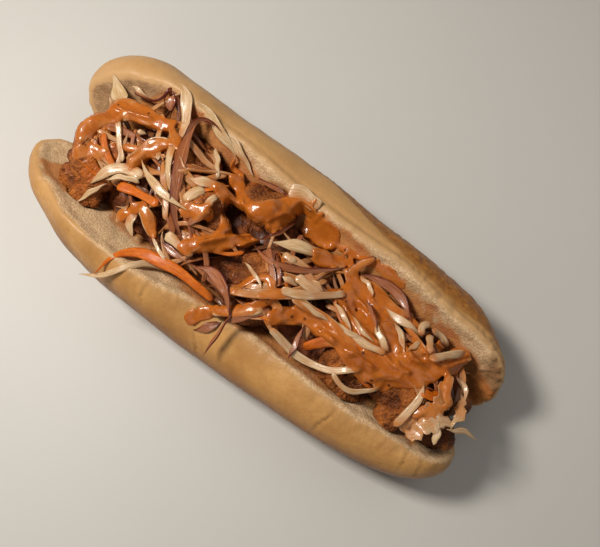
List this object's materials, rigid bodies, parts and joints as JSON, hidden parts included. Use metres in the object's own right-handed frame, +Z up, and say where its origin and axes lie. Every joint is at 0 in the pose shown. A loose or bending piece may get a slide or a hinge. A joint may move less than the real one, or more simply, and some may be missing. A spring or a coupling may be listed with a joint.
{
  "type": "shrimp po boy sandwich",
  "caption": "Long soft roll split open along its length and heaped with curled fried shrimp and dressed slaw of cabbage, red onion and carrot",
  "frame": {"origin": "middle of the flat underside that the roll rests on", "axes": "+X runs along the roll to the end where the shrimp reach the tip, +Y to the taller half, +Z up"},
  "size_m": [0.2496, 0.1094, 0.0611],
  "materials": {
    "roll_crust": "soft matte golden-tan crust with an off-white crumb on the cut faces",
    "fried_batter": "craggy deep orange-brown fried batter, slightly oily",
    "dressed_slaw": "wet pale cabbage, mauve-edged onion and orange carrot under a glossy orange dressing"
  },
  "bodies": {
    "root": {"roll": "roll_crust", "shrimp_left_top": "fried_batter", "shrimp_left_low": "fried_batter", "shrimp_wall_left": "fried_batter", "shrimp_wall_mid": "fried_batter", "shrimp_mid_left": "fried_batter", "shrimp_mid": "fried_batter", "shrimp_near_right": "fried_batter", "shrimp_right": "fried_batter", "shrimp_right_low": "fried_batter", "shrimp_right_end": "fried_batter", "slaw": "dressed_slaw"}
  },
  "joints": []
}
